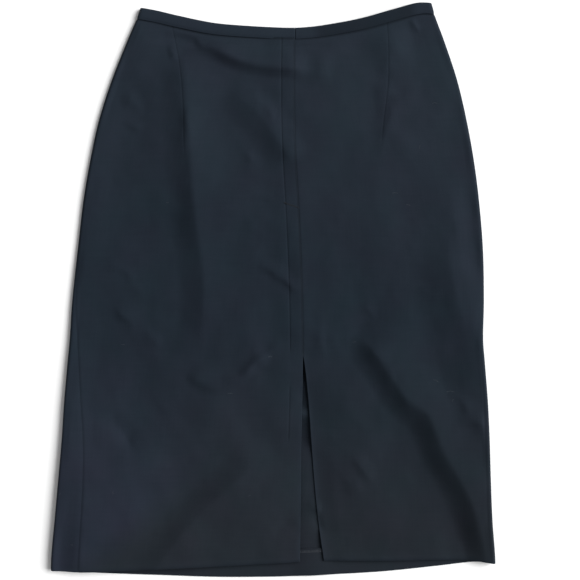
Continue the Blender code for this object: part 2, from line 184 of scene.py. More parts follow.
# The folds, as in the frame. Walking along the spine, the cloth falls away quickly on the right
# hand and slowly on the left, and each fold fades in and out over a length of its own. The crest
# runs from 0, sharp, to 2, round.
#   name, rise, quick side, slow side, crest, fade in, fade out, spine
FOLDS = (
    ("under_band", 6.2, 13, 40, 0.6, 60, 36,
     ((-99, 300), (-82, 288), (-66, 281), (-50, 273), (-31, 266), (-13, 262), (8, 260),
      (51, 257))),
    ("seat_slant", 3.4, 28, 28, 0.9, 36, 16,
     ((-52, 236), (-38, 225), (-25, 213), (-11, 199), (3, 180), (16, 159), (24, 146))),
    ("left_dart", 5.0, 30, 44, 0.8, 40, 90,
     ((-104, 281), (-100, 222), (-97, 164), (-92, 105), (-85, 53), (-80, 6), (-82, -47),
      (-85, -96))),
    ("thigh_left", 2.4, 11, 30, 0.8, 16, 16,
     ((-101, -96), (-85, -106), (-66, -112), (-41, -103), (-20, -84), (-3, -73))),
    ("hem_left", 5.6, 31, 110, 1.0, 70, 50,
     ((-4, -177), (-31, -214), (-55, -236), (-77, -255), (-100, -280), (-126, -311))),
    ("slit_gape", 1.8, 40, 32, 1.8, 40, 40, ((9, -50), (9, -110), (8, -190))),
    ("hip_right", 5.0, 60, 24, 1.6, 50, 50,
     ((203, 146), (207, 99), (213, 58), (219, 23), (226, -12), (233, -47), (239, -82),
      (244, -126))),
    ("knee_right", 8.4, 28, 100, 1.0, 40, 90,
     ((95, -48), (110, -61), (125, -81), (141, -104), (155, -124), (166, -133), (180, -143),
      (189, -161), (199, -187), (219, -222), (233, -250), (242, -281), (248, -311),
      (252, -360))),
)

# Creases too small for the frame, which fade over half their length at both ends
#   name, rise, quick side, slow side, crest, spine
CREASES = (
    ("dart_fleck", 1.5, 8, 12, 0.5, ((-128, 284), (-119, 283), (-109, 273))),
    ("yoke_side", -0.8, 18, 19, 0.5, ((-121, 308), (-138, 281))),
    ("hip_nick", 1.5, 11, 16, 0.5, ((-171, 235), (-165, 220), (-151, 212))),
    ("hip_nick_low", 1.1, 8, 11, 0.5, ((-173, 199), (-161, 193), (-149, 192))),
    ("dart_crest", 1.4, 11, 19, 0.5, ((-99, 225), (-99, 193), (-101, 158))),
    ("slant_crest", 1.8, 18, 12, 0.5, ((-29, 234), (-13, 218), (-1, 201), (11, 186))),
    ("seat_nick", 1.4, 12, 16, 0.5, ((-39, 163), (-28, 154), (-16, 142))),
    ("bar_level", 0.8, 5, 11, 0.5, ((-27, 109), (-6, 108), (17, 107))),
    ("side_nick", 1.8, 12, 19, 0.5, ((-190, -12), (-176, -29), (-160, -50))),
    ("side_fleck", 1.1, 8, 12, 0.5, ((-149, -47), (-141, -58), (-133, -71))),
    ("slit_press", 1.1, 16, 25, 0.5, ((22, -153), (21.5, -130), (21, -105))),
    ("hem_groove", -1.9, 17, 18, 0.5, ((-196, -138), (-173, -168), (-151, -200))),
    ("slit_dip", -1.1, 12, 15, 0.5, ((-8, -278), (16, -273), (33, -270))),
    ("band_nick", 1.9, 12, 11, 0.5, ((150, 317), (162, 315), (170, 309), (173, 298))),
    ("hip_level", 0.9, 11, 16, 0.5, ((130, -2), (155, 2), (189, 0))),
    ("knee_start", 1.1, 11, 18, 0.5, ((100, -15), (109, -25), (117, -37))),
    ("hip_tail", 2.3, 16, 19, 0.5, ((207, -115), (226, -140), (245, -164), (251, -190))),
    ("slack_upper", 1.4, 11, 16, 0.5, ((82, -185), (102, -206), (127, -236))),
    ("slack_lower", 1.4, 12, 14, 0.5, ((75, -215), (93, -225), (114, -239))),
    ("yoke_line", 2.0, 8, 22, 0.5, ((-123, 308), (-101, 300), (-82, 289), (-62, 278))),
    ("lap_pinch", 2.7, 6, 16, 0.6, ((-27, 33), (-10, 23), (8, 13), (26, 1), (35, -7))),
    ("lap_wedge", 1.4, 40, 22, 0.7, ((-48, 67), (-27, 76), (-3, 81), (20, 81))),
    ("side_ridge", 1.2, 14, 30, 0.5, ((-226, 26), (-200, 33), (-181, 30), (-165, 14), (-146, -18))),
    ("right_dart", 2.4, 20, 46, 0.9, ((138, 311), (138, 257), (135, 211), (130, 176), (124, 133))),
    ("knee_crest", 1.5, 15, 40, 0.8,
     ((90, -44), (112, -64), (127, -84), (141, -106), (157, -127), (182, -147))),
    ("slit_top", 2.0, 22, 70, 0.9, ((60, -18), (59, -58), (58, -98))),
    ("thigh_rise", 3.0, 12, 26, 0.6, ((14, -58), (-12, -80), (-38, -100), (-64, -112))),
)

# Broad, round swells of the cloth, which fade over half their length at both ends
#   name, rise, right-hand side, left-hand side, crest, spine
SWELLS = (
    ("left_swell", 8.0, 50, 116, 2.0, ((-214, -140), (-223, -200), (-226, -280), (-216, -470))),
    ("left_yoke", -1.6, 60, 70, 2.0, ((-181, 246), (-188, 164), (-183, 70), (-167, -12))),
    ("seat_swell", 1.4, 50, 60, 2.0, ((-48, 164), (-48, 117), (-43, 47))),
    ("right_swell", 2.4, 74, 60, 2.0, ((116, 176), (118, 82), (121, 0), (116, -58))),
    ("right_hip", 0.9, 50, 60, 2.0, ((170, 230), (180, 170), (188, 110))),
    ("slit_side", 2.4, 52, 50, 2.0, ((90, -40), (94, -120), (98, -220), (106, -320))),
    ("knee_swell", 1.5, 50, 40, 2.0, ((-48, -140), (-13, -123), (20, -117))),
    ("hem_middle", 1.3, 44, 44, 2.0, ((-13, -222), (-17, -269), (-13, -316))),
    ("yoke_right", 3.6, 44, 28, 2.0, ((133, 325), (137, 297), (142, 246))),
    ("knee_hollow", -1.4, 24, 30, 2.0, ((196, -246), (210, -292), (219, -339))),
    ("left_bend", 1.2, 30, 44, 1.2, ((-188, 7), (-155, -37), (-120, -84), (-85, -140))),
    ("dart_foot", 3.8, 60, 110, 1.8, ((-45, 123), (-35, 47), (-29, -29), (-30, -99), (-38, -176))),
    ("side_foot", 5.0, 90, 70, 1.8, ((-94, -64), (-80, -135), (-71, -228))),
    ("hip_band", 4.8, 46, 26, 1.2,
     ((196, 89), (203, 47), (211, 7), (219, -28), (227, -63), (234, -105))),
    ("hem_tail", 5.0, 32, 90, 1.0,
     ((-84, -262), (-106, -287), (-126, -312), (-144, -337), (-164, -364))),
    ("knee_step", 2.2, 46, 60, 0.8,
     ((142, -108), (158, -128), (180, -143), (192, -166), (204, -194))),
    ("band_tail", 1.8, 22, 26, 2.0, ((38, 262), (54, 260), (74, 256))),
    ("dart_side", 1.3, 24, 60, 1.2, ((-96, 215), (-92, 150), (-88, 80), (-84, 20))),
    ("yoke_dip", -2.2, 10, 10, 0.8,
     ((-138, 290), (-122, 295), (-104, 295), (-84, 290), (-66, 282))),
    ("hip_hollow", -3.6, 50, 29, 1.0, ((184, -70), (196, -104), (206, -130), (222, -158))),
)

# Wrinkles of the front, which the slit shows from inside
FRONT_CREASES = (
    ("slit_bulge", 3.2, 20, 80, 2.0, 16, 60,
     ((37, -174), (38, -205), (39, -235), (41, -262), (44, -300))),
    ("slit_tongue", 3.4, 7, 8, 1.2, 6, 9, ((23, -141), (33, -144), (42, -148))),
    ("slit_wrinkle", 1.2, 6, 10, 1.4, 5, 5, ((40, -250), (48, -254), (58, -256))),
    ("slit_crimp", -1.0, 7, 7, 1.4, 5, 6, ((50, -262), (53, -272), (56, -283))),
    ("hip_fold", 0.9, 16, 30, 1.4, 40, 60, ((-140, 210), (-120, 120), (-128, 20), (-150, -60))),
    ("thigh_fold", 0.8, 22, 14, 1.4, 40, 40, ((170, 120), (120, 40), (100, -40))),
    ("knee_fold", 1.0, 14, 26, 1.4, 30, 50, ((-190, -150), (-120, -190), (-60, -270))),
    ("hem_fold", 0.9, 20, 20, 1.4, 40, 30, ((150, -120), (175, -190), (140, -280))),
    ("slit_hem", 1.6, 24, 30, 2.0, 40, 0, ((40, -262), (44, -300), (46, -345))),
    ("slit_lead", 1.9, 11, 40, 2.0, 26, 16,
     ((38, -86), (42, -118), (45, -142), (47, -165), (48, -190))),
)

# The darts' seams, from the lower end to the waist.
#   y, x
LEFT_DART = (
    (149.8, -102.7), (175.5, -103.8), (210.6, -104.4), (245.7, -106.8), (274.9, -110.9),
    (303.0, -116.7),
)
RIGHT_DART = (
    (163.8, 126.7), (193.0, 129.0), (222.3, 132.5), (245.7, 134.8), (286.6, 134.8),
    (311.2, 133.7),
)
DART_FADE = 26.0  # the dip along them eases in over this length

# How far the lap's edge stands off its panel, from the slit to the waist
#   y, height
LAP_STANDS = (
    (-150.0, 0.4), (-70.0, 1.0), (-20.0, 1.6), (15.0, 2.6), (55.0, 2.1), (85.0, 0.4), (120.0, 0.8),
    (158.0, 3.0), (176.0, 2.6), (200.0, 0.9), (255.0, 1.2), (285.0, 0.2), (310.0, 0.0),
)

# Stitching
STITCHED = ((-72.0, 400.0), (-176.0, -112.0))  # lowest and highest y of the lap's topstitching
BAR_TACK = ((13.2, 101.8), (30.7, 95.9))
BAR_STITCH, BAR_PITCH, BAR_BULGE = 2.3, 0.5, 1.1  # the last is height to width
STITCH_SINK, BAR_SINK = 0.5, 0.12  # how deep the threads lie in the cloth
WAIST_CLEAR = 1.5  # from the last topstitch up to the waistband
STITCH_SIDES, STITCH_RINGS = 6, 5
LOCKED, LOCK_CLEAR = 500.0, 1.0  # length of the overlocked edge, and what it leaves at each end
LOCK_PITCH, LOCK_DEPTH, LOCK_SINK = 1.5, 4.2, 0.1
LOCK_OVER = (0.8, 0.35, -0.35)  # how the thread goes over the raw edge
LOCK_THREAD, LOCK_LOOP = 0.42, 0.4  # its thickness, and the same in its loops

# Lint: x, y, length, turn in degrees
LINT = (
    (189, 218, 6, 0), (172, 167, 4, 80), (143, 113, 6, -5), (158, 99, 5, -10),
    (-27, -240, 3, 30), (190, -106, 7, -25), (207, -119, 9, 0), (95, -61, 4, 10),
    (-3, -78, 5, 5), (-186, -236, 3, 90), (-248, -238, 3, 40), (-234, -297, 3, 0),
    (-50, -121, 6, 5), (-123, 102, 3, 0), (210, -129, 4, 60), (-175, -64, 4, 0),
)
LINT_THICKNESS, LINT_LIFT = 0.34, 0.1
LINT_BEND, LINT_OVERLAP = 0.25, 0.08  # shares of half a fibre

# Stage, in metres and degrees
FRAME_WIDTH = 0.6786  # what the camera takes in at the skirt's middle height
AIM = (0.0202, 0.0, 0.004)
FLOOR_HALF, FLOOR_GAP = 30.0, 0.0001
FLOOR_PATCHES, FLOOR_SHADE, FLOOR_ROUGH = 3.0, 0.98, 0.9
SENSOR = 36.0
KEY_PLACE = (15.0, 35.0)  # round from +X, and up
KEY_DISTANCE, KEY_SPREAD = 2.0, 48.0

# Kinds of socket on a shader group
VECTOR, NUMBER, COLOUR = "NodeSocketVector", "NodeSocketFloat", "NodeSocketColor"

# The twill. Noise is given in features to a metre.
THREAD_PITCH = 0.00028
LOOSE_THREADS, LOOSENESS = 160.0, 9.0  # how the warp strays, in radians of its pitch
RIB_THREADS, RIB_HEIGHT, THREAD_HEIGHT = 3.0, 0.3, 0.15
WARP_SLUBS, WEFT_SLUBS = (620.0, 22.0, 1.0), (20.0, 520.0, 1.0)

# The suiting's colours, and where its tints, its painted shade and its painted sheen begin and are
# full, in metres
COLOURS = (
    "Dark", "Light", "Worn", "Deep", "Warm", "Cool", "Dulled", "Brushed", "Pressed", "Rubbed",
)
CLOUDS, FUZZ = (16.0, 5.0, 0.6), (1400.0, 3.0, 0.7)  # size, detail and roughness of noise
TONES = (0.6, 2.4)  # what counts as dark and light
TINT_PATCHES, WEAR_PATCHES = 17.0, 90.0
# Painted shade, darker and warmer near the hem, and painted sheen on the nap low on the left
DULLED, SHEEN_ACROSS = (-0.05, -0.28), (-0.05, -0.16)  # up the skirt, and across it
ABOVE_FOLD, FOLD_LEAN = (0.222, 0.165), -1.27  # across a line that leans as the fold at the hem
SLANT, SLANT_START = 0.5, -0.08  # the next two slope down to the right of this place
# painted sheen below the waistband and high on the right
SHEEN_UP = (0.21, 0.27)
# The cloth is darker in a band across the seat and thighs
RUBBED, SEAT = (0.17, 0.08), -0.03  # away from the seat, up or down
SHADE_STRENGTH, FUZZ_HEIGHT = 0.9, 0.45

# Finishes: the size and strength of their relief, the range and least of their roughness
CLOTH_RELIEF, THREAD_RELIEF, TAPE_RELIEF = (0.0001, 0.7), (0.00006, 0.6), (0.0002, 0.8)
CLOTH_ROUGH, THREAD_ROUGH, TAPE_ROUGH = (0.16, 0.76), (0.2, 0.5), (0.3, 0.45)
CLOTH_GLOSS, THREAD_GLOSS = 0.06, 0.15
SHEEN_ROUGH, SHEEN_TINT = 0.45, (0.42, 0.5, 0.62)
THREAD_TWIST, THREAD_DARK, TAPE_DARK = (2600.0, 700.0, 2600.0), 0.55, 0.6
CHIPS, CHIPPED, ENAMEL_ROUGH = (420.0, 4.0, 0.65), (0.58, 0.7), (0.15, 0.3)
ENAMEL, BARE_METAL = (0.02, 0.022, 0.028), (0.2, 0.19, 0.17)


def smooth(t):
    """Eases from 0 to 1."""
    t = np.clip(t, 0.0, 1.0)
    return t * t * (3 - 2 * t)


def read(table, column, at):
    """One column of a table at any height or share, on a smooth curve through its rows."""
    xs, ys = np.array([(row[0], row[column]) for row in table]).T
    last = len(xs) - 1
    before, after = np.clip(np.arange(len(xs)) + [[-1], [1]], 0, last)
    slope = (ys[after] - ys[before]) / (xs[after] - xs[before])
    i = np.clip(np.searchsorted(xs, at) - 1, 0, last - 1)
    span = xs[i + 1] - xs[i]
    t = np.clip((at - xs[i]) / span, 0.0, 1.0)
    fast, slow = t * t * (3 - 2 * t), t * (1 - t)
    bend = (1 - t) * slope[i] - t * slope[i + 1]
    return ys[i] * (1 - fast) + ys[i + 1] * fast + span * slow * bend


# A reader for each column of numbers
(
    left_edge, right_edge, left_seam, right_seam, lap_edge, under_edge, left_fullness,
    right_fullness,
) = (partial(read, SECTIONS, column) for column in range(1, len(SECTIONS[0])))
band_top = partial(read, ENDS, 1)
left_dart, right_dart, lap_stand = (
    partial(read, table, 1) for table in (LEFT_DART, RIGHT_DART, LAP_STANDS)
)


def cloth_wall():
    """The thickness of one layer of the suiting."""
    return bpy.context.scene.skirt_cloth.wall / MM


def share_of(x, y):
    """How far across the garment a point is, from 0 at its left edge to 1 at its right."""
    return (x - left_edge(y)) / (right_edge(y) - left_edge(y))


def level(layer, row, share):
    """The height up the skirt of a row, from 0 at the hem to 1 at the waistband's seam."""
    top = band_top(share) - BAND_HEIGHT
    return read(ENDS, layer, share) * (1 - row) + top * row


def locate(side, inset, layer, row):
    """X and Y of points this far in from one edge."""
    share = inset / FIRST_WIDTH
    for _ in range(ROUNDS):
        y = level(layer, row, share if side == LEFT else 1 - share)
        share = inset / (right_edge(y) - left_edge(y))
    x = left_edge(y) + inset if side == LEFT else right_edge(y) - inset
    return x, y


def along_to(side, line, row):
    """The length of cloth from one turned edge to a line that runs up the back."""
    share = CENTRE
    for _ in range(ROUNDS):
        y = level(OVER, row, share)
        share = share_of(line(y), y)
    inset = line(y) - left_edge(y) if side == LEFT else right_edge(y) - line(y)
    return inset - EDGE_RADIUS + QUARTER


def seam_along(side, row):
    """The length of cloth from a turned edge to its side seam."""
    y = level(OVER, row, SEAM_SHARE if side == LEFT else 1 - SEAM_SHARE)
    return (left_seam if side == LEFT else right_seam)(y)


def smooth_line(points):
    """A smooth curve through a spine's points."""
    points = np.array(points, dtype=float)
    ends = np.concatenate([points[:1], points, points[-1:]])
    t = np.linspace(0, 1, SPINE_STEPS, endpoint=False)[:, None]
    line = [
        0.5 * (2 * q + (r - p) * t + (2 * p - 5 * q + 4 * r - s) * t**2
               + (3 * q - p - 3 * r + s) * t**3)
        for p, q, r, s in zip(ends, ends[1:], ends[2:], ends[3:])
    ]
    return np.concatenate([*line, points[-1:]])


def fold_height(folds, x, y, rounded=CREST_ROUND):
    """What a table of folds adds to the cloth's height."""
    total = np.zeros(np.shape(x))
    for _, rise, quick, slow, crest, fade_in, fade_out, spine in folds:
        line = smooth_line(spine)
        reach = max(quick, slow)
        (low_x, low_y), (high_x, high_y) = line.min(axis=0) - reach, line.max(axis=0) + reach
        near = (x > low_x) & (x < high_x) & (y > low_y) & (y < high_y)
        px, py = x[near], y[near]
        best, here = np.full(px.shape, np.inf), np.zeros(px.shape)
        to_the_left = np.zeros(px.shape, dtype=bool)
        walked = 0.0
        for a, b in zip(line, line[1:]):
            run = b - a
            length = math.hypot(*run)
            t = np.clip(((px - a[0]) * run[0] + (py - a[1]) * run[1]) / length**2, 0.0, 1.0)
            away_x, away_y = px - a[0] - run[0] * t, py - a[1] - run[1] * t
            away = np.hypot(away_x, away_y)
            nearer = away < best
            best = np.where(nearer, away, best)
            here = np.where(nearer, walked + t * length, here)
            to_the_left = np.where(nearer, run[0] * away_y - run[1] * away_x > 0, to_the_left)
            walked += length
        best = np.hypot(best, rounded) - rounded
        across = np.clip(best / np.where(to_the_left, slow, quick), 0.0, 1.0)
        height = rise * (1 - across) ** 2 * (1 + crest * across)
        height *= smooth(here / fade_in) if fade_in else 1.0
        height *= smooth((walked - here) / fade_out) if fade_out else 1.0
        total[near] += height
    return total


def faded(creases):
    """Creases as folds that fade over half their length at both ends."""
    for name, *shape, spine in creases:
        half = np.hypot(*np.diff(smooth_line(spine), axis=0).T).sum() / 2
        yield name, *shape, half, half, spine


def unevenness(x, y, size, seed):
    """Smooth noise from -1 to 1, with features of this size."""
    flat = [noise.noise((px / size, py / size, seed)) for px, py in zip(x.flat, y.flat)]
    return np.array(flat).reshape(np.shape(x))


def undulation(x, y, seed=CLOTH_SEED):
    """The cloth's slight unevenness."""
    swells = sum(height * unevenness(x, y, size, seed) for height, size in UNDULATION)
    seed += RIDGE_SEED
    ridges = sum(height * np.abs(unevenness(x, y, size, seed)) for height, size in RIDGES)
    return swells - ridges


def small_creases(x, y):
    """The small creases, which wander and come and go."""
    aside, along = (WANDER * unevenness(x, y, WANDER_SIZE, seed) for seed in WANDER_SEEDS)
    creases = fold_height(faded(CREASES), x + aside, y + along, CREASE_ROUND)
    return creases * (1 + FITFUL * unevenness(x, y, FITFUL_SIZE, FITFUL_SEED))


def upper_face(x, y):
    """Height of the upper layer's outer face, and of the turned edges where they are highest."""
    height, insets = LOOSE, (x - left_edge(y), right_edge(y) - x)
    for inset, fullness in zip(insets, (left_fullness, right_fullness)):
        rise = 2 * EDGE_RADIUS + fullness(y) - LOOSE
        height = height + rise * (1 - smooth((inset - EDGE_RADIUS) / EDGE_EASE))
    inset = np.minimum(*insets) - EDGE_RADIUS
    height += fold_height(FOLDS, x, y)
    height += (small_creases(x, y) + undulation(x, y)) * smooth(inset / CREASE_EDGE)
    height += fold_height(faded(SWELLS), x, y) * smooth(inset / EDGE_EASE)
    held = 1 - smooth((band_top(share_of(x, y)) - BAND_HEIGHT - y) / HOLD)
    height += (HELD_HEIGHT - height) * held
    over_hem = 1 - smooth((y - OVER_HEM) / HEM_EASE)
    height = np.maximum(height, PRESSED + (PRESSED_HEM - PRESSED) * over_hem)
    wall = cloth_wall()
    laid = 3 * wall + LAID_GAP + front_lift(x, y)
    laid += (LIP - wall + RAW_LIFT + LOCK_THREAD) * over_hem
    resting = smooth(1 - (x - under_edge(y)) / LAID_WIDTH) * (x > lap_edge(y))
    height += (laid - height) * resting * smooth((LAID_TOP - y) / LAID_EASE)
    return np.maximum(height, laid)


def lap_raise(x, y):
    """The left back panel is lifted by the allowances and the panel under its lap."""
    from_line = x - lap_edge(y) + LAP_WIDTH
    raised = LAP_RAISE * smooth((from_line + LAP_EASE) / LAP_EASE)
    raised += lap_stand(y) * np.clip(from_line / LAP_WIDTH, 0.0, 1.0)
    return raised * smooth((y - LAP_END) / LAP_SETTLES + 1)


def front_lift(x, y):
    """How far the front is wrinkled up off the floor."""
    return fold_height(FRONT_CREASES, x, y)


def wrapped(side, along, row, depth, lapped=False):
    """Points of the cloth, `along` round from the turned edge and `depth` in from its face.

    They are on the upper layer where `along` is positive, and underneath where it is negative.
    """
    along, row, depth = np.broadcast_arrays(along, row, depth)
    angle, radius = np.clip(along, -QUARTER, QUARTER) / EDGE_RADIUS, EDGE_RADIUS - depth
    turned = np.abs(along) <= QUARTER
    inset = np.where(
        turned,
        EDGE_RADIUS - radius * np.cos(angle),
        EDGE_RADIUS + np.abs(along) - QUARTER,
    )
    over, under = locate(side, inset, OVER, row), locate(side, inset, UNDER, row)
    x, y = (np.where(along > 0, a, b) for a, b in zip(over, under))
    face = upper_face(x, y) + (lap_raise(x, y) if lapped else 0.0)
    flat = np.where(along > 0, face - depth, depth)
    lift = (face - 2 * EDGE_RADIUS) * (1 + np.sin(angle)) / 2
    z = np.where(turned, EDGE_RADIUS + radius * np.sin(angle) + lift, flat)
    return np.stack([x, y, z], axis=-1)


def roll(distance, radius):
    """How far a folded edge's faces close in, this far from the edge."""
    inside = np.clip(1 - distance / radius, 0.0, 1.0)
    return ROLL_SHARE * radius * (1 - np.sqrt(1 - inside**2))


def tuck(distance):
    """How far the face dips beside a sewn seam."""
    return TUCK * (1 - smooth(distance / TUCK_WIDTH))


def dip(distance, depth, width):
    """The dip along a line of stitching."""
    return depth * np.exp(-((distance / width) ** 2))


def stations(lines, counts):
    """Columns across a panel: each line's own steps, and even steps between the lines.

    A line is its place on every row with the steps that go with it.
    """
    columns = []
    for (place, steps), following, count in zip(lines, lines[1:], counts):
        columns += [place + step for step in steps]
        start, end = place + steps[-1], following[0] + following[1][0]
        columns += [start + (end - start) * k / count for k in range(1, count)]
    place, steps = lines[-1]
    columns += [place + step for step in steps]
    return np.array(columns)


def back_from(steps):
    """Steps in from a line's far side, for the last line of a panel."""
    return tuple(-step for step in reversed(steps))


def row_shares(length, low_steps, high_steps, count):
    """Rows from the low end up, as shares of the length."""
    low, high = np.array(low_steps), length - np.array(high_steps)[::-1]
    middle = np.linspace(low[-1], high[0], count + 1)[1:-1]
    return np.concatenate([low, middle, high]) / length


def spread(start, share):
    """Places round a turned edge, from a seam to the floor, close together where it turns."""

    def crowd(along):
        turned = np.minimum(np.abs(along), QUARTER) / TURN_STEP
        flat = np.maximum(np.abs(along) - QUARTER, 0.0) / FLAT_STEP
        return np.copysign(turned + flat, along)

    count = crowd(start) + (crowd(-QUARTER) - crowd(start)) * share
    turned = np.minimum(np.abs(count), QUARTER / TURN_STEP)
    return np.copysign(turned * TURN_STEP + (np.abs(count) - turned) * FLAT_STEP, count)


def placed(name, data):
    """A new object in the scene."""
    made = bpy.data.objects.new(name, data)
    bpy.context.scene.collection.objects.link(made)
    return made


def placed_mesh(name, form, finish):
    """A form as a mesh in the scene."""
    mesh = bpy.data.meshes.new(name)
    form.to_mesh(mesh)
    form.free()
    mesh.materials.append(finish)
    return placed(name, mesh)


def new_piece(name, form, finish):
    """A finished piece at the origin, which rides on the skirt's one body."""
    made = placed_mesh(name, form, finish)
    made.data.shade_smooth()
    made.data.set_sharp_from_angle(angle=math.radians(SHARP))
    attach(made, "root")
    return made


def cloth(name, outer, inner, along, edge, sunk=0.0):
    """A closed wall of cloth between two faces, each columns by rows by x, y and z.

    Its map runs with the weave, in metres. `edge` is each point's distance from a folded edge,
    and the last argument is how far it dips into a seam or a row of stitching, together with the
    painted shade beside the lap's edge, along the back's hem and on the band; the colour is
    darkened by it as painted shade.
    """
    columns, rows = outer.shape[0] - 1, outer.shape[1] - 1
    form = bmesh.new()
    bmesh.ops.create_grid(form, x_segments=columns, y_segments=rows, size=0.5)
    drawn = bmesh.ops.extrude_face_region(form, geom=form.faces[:], use_keep_orig=True)["geom"]
    lining = {item for item in drawn if isinstance(item, bmesh.types.BMVert)}
    column = np.array([round((vert.co.x + 0.5) * columns) for vert in form.verts])
    row = np.array([round((vert.co.y + 0.5) * rows) for vert in form.verts])
    inside = np.array([vert in lining for vert in form.verts])
    places = np.where(inside[:, None], inner[column, row], outer[column, row]) * MM
    for vert, place in zip(form.verts, places.tolist()):
        vert.co = place
    bmesh.ops.recalc_face_normals(form, faces=form.faces)
    made = new_piece(name, form, suiting())
    mesh = made.data
    corner = np.empty(len(mesh.loops), dtype=np.int32)
    mesh.loops.foreach_get("vertex_index", corner)
    weave = np.stack([along[column, row], outer[column, row, 1]], axis=1) * MM
    mesh.uv_layers.new(name="weave").data.foreach_set("uv", weave[corner].ravel())
    sunk = np.broadcast_to(sunk, edge.shape)
    for mask, values in (("edge", np.exp(-edge / WEAR_WIDTH)), ("sunk", np.minimum(sunk, 1))):
        made_mask = mesh.attributes.new(mask, "FLOAT", "POINT")
        made_mask.data.foreach_set("value", values[column, row])
    return made


def back_panel(name, side, dart, folded, sewn_lines, counts):
    """A panel of the back, from its side seam over its dart to its folded edge.

    `sewn_lines` are lines of stitching beside the fold, as distances from it.
    """
    wall = cloth_wall()
    rows = row_shares(PANEL_LENGTH, EDGE_STEPS, UNDER_BAND_STEPS, BACK_ROWS)
    from_hem, from_waist = rows * PANEL_LENGTH, (1 - rows) * PANEL_LENGTH
    seam_line, dart_line = seam_along(side, rows) + SEAM / 2, along_to(side, dart, rows)
    fold_line = along_to(side, folded, rows)
    lines = [(seam_line, SEAM_STEPS), (dart_line, LINE_STEPS)]
    lines += [(fold_line - inset, LINE_STEPS) for inset in sewn_lines]
    lines += [(fold_line, back_from(EDGE_STEPS))]
    along = stations(lines, counts)
    lapped = side == LEFT
    y = wrapped(side, along, rows, 0.0)[..., 1]
    from_fold = fold_line - along
    edge = np.minimum(from_fold, from_hem)
    closing = roll(edge, EDGE_ROLL)
    # How far the face dips at the seams, the dart and the stitching, which also darkens the colour
    # as painted shade
    sunk = np.maximum(SIDE_TUCK * tuck(along - seam_line), tuck(from_waist))
    dart_end = (LEFT_DART if lapped else RIGHT_DART)[0][0]
    sunk += dip(along - dart_line, DART_DIP * smooth((y - dart_end) / DART_FADE), DART_WIDTH)
    for inset in sewn_lines:
        held = sum(
            smooth((y - low) / STITCH_EASE) * smooth((high - y) / STITCH_EASE)
            for low, high in STITCHED
        )
        sunk += dip(from_fold - inset, STITCH_DIP * held, STITCH_WIDTH)
    outer = closing + sunk
    thick = wall * (2 - smooth((edge - ALLOWANCE) / ALLOWANCE_EASE))
    inner = np.maximum(thick - closing, outer + THINNEST)
    faces = [wrapped(side, along, rows, depth, lapped) for depth in (outer, inner)]
    # Painted shade beside the lap's edge, weaker beside the slit and near the waist, and painted
    # shade along the back's hem
    beside = from_fold if lapped else faces[0][..., 0] - lap_edge(y)
    least = SLIT_SHADE if lapped else 0.0
    shade_share = least + (1 - least) * smooth((y - LAP_END) / SLIT_EASE)
    shade_share *= 1 - (1 - WAIST_SHADE) * smooth((y - SHADE_LIGHTER_ABOVE) / SHADE_LIGHTER_EASE)
    shaded = LAP_SHADE * (1 - smooth(beside / LAP_SHADE_WIDTH)) * shade_share
    shaded = np.maximum(shaded, HEM_SHADE * (1 - smooth(from_hem / HEM_SHADE_WIDTH)))
    return cloth(name, *faces, along * side, edge, np.maximum(sunk, shaded))


def front_cloth():
    """From the right side seam, under the skirt along the floor, to the left side seam."""
    wall = cloth_wall()
    rows = row_shares(PANEL_LENGTH, LIP_STEPS, UNDER_BAND_STEPS, FRONT_ROWS)
    from_hem, from_waist = rows * PANEL_LENGTH, (1 - rows) * PANEL_LENGTH
    closing = roll(from_hem, LIP / 2)
    thick = np.where(from_hem < LIP_DEPTH, LIP, wall) - closing
    turns = np.linspace(0, 1, TURN_COLUMNS + 1)[:, None]
    sides, lengths = {}, {}
    for side in (RIGHT, LEFT):
        seam = seam_along(side, rows) - SEAM / 2
        along = spread(seam, turns)
        outer = np.maximum(SIDE_TUCK * tuck(seam - along), tuck(from_waist)) + closing
        inner = np.maximum(thick, outer + THINNEST)
        sides[side] = [wrapped(side, along, rows, depth) for depth in (outer, inner)]
        lengths[side] = along * side
    share = np.linspace(0, 1, FLOOR_COLUMNS + 1)[1:-1, None]
    faces = []
    outer = closing + tuck(from_waist)
    for k, depth in enumerate((outer, np.maximum(thick, outer + THINNEST))):
        right, left = sides[RIGHT][k][-1], sides[LEFT][k][-1]
        x = right[:, 0] + (left[:, 0] - right[:, 0]) * share
        across = (x - left_edge(left[:, 1])) / (right_edge(right[:, 1]) - left_edge(left[:, 1]))
        y = level(UNDER, rows, across)
        floor = np.stack([x, y, depth + front_lift(x, y)], axis=-1)
        faces.append(np.concatenate([sides[RIGHT][k], floor, sides[LEFT][k][::-1]]))
    along = np.concatenate([lengths[RIGHT], x, lengths[LEFT][::-1]])
    return cloth("front_cloth", *faces, along, np.broadcast_to(from_hem, along.shape))


def front_hem_cloth():
    """The front's hem, turned up on its inside and level with the lip of its fold."""
    wall = cloth_wall()
    depth = HEM_DEPTH - LIP_DEPTH
    rows = row_shares(depth, HEM_STEPS, EDGE_STEPS, HEM_ROWS)
    column = np.linspace(0, 1, HEM_COLUMNS + 1)[:, None]
    share = column
    for _ in range(ROUNDS):
        y = level(UNDER, 0.0, share) + LIP_DEPTH + SEAM / 2 + depth * rows
        left, right = left_edge(y) + HEM_CLEAR, right_edge(y) - HEM_CLEAR
        x = left + (right - left) * column
        share = share_of(x, y)
    from_raw = (1 - rows) * depth
    closing = roll(from_raw, wall / 2)
    top = LIP + front_lift(x, y) + RAW_LIFT * (1 - smooth(from_raw / RAW_EASE))
    faces = [np.stack([x, y, z], axis=-1) for z in (top - closing, top - wall + closing)]
    return cloth("front_hem_cloth", *faces, x, np.full(x.shape, HEM_DEPTH))


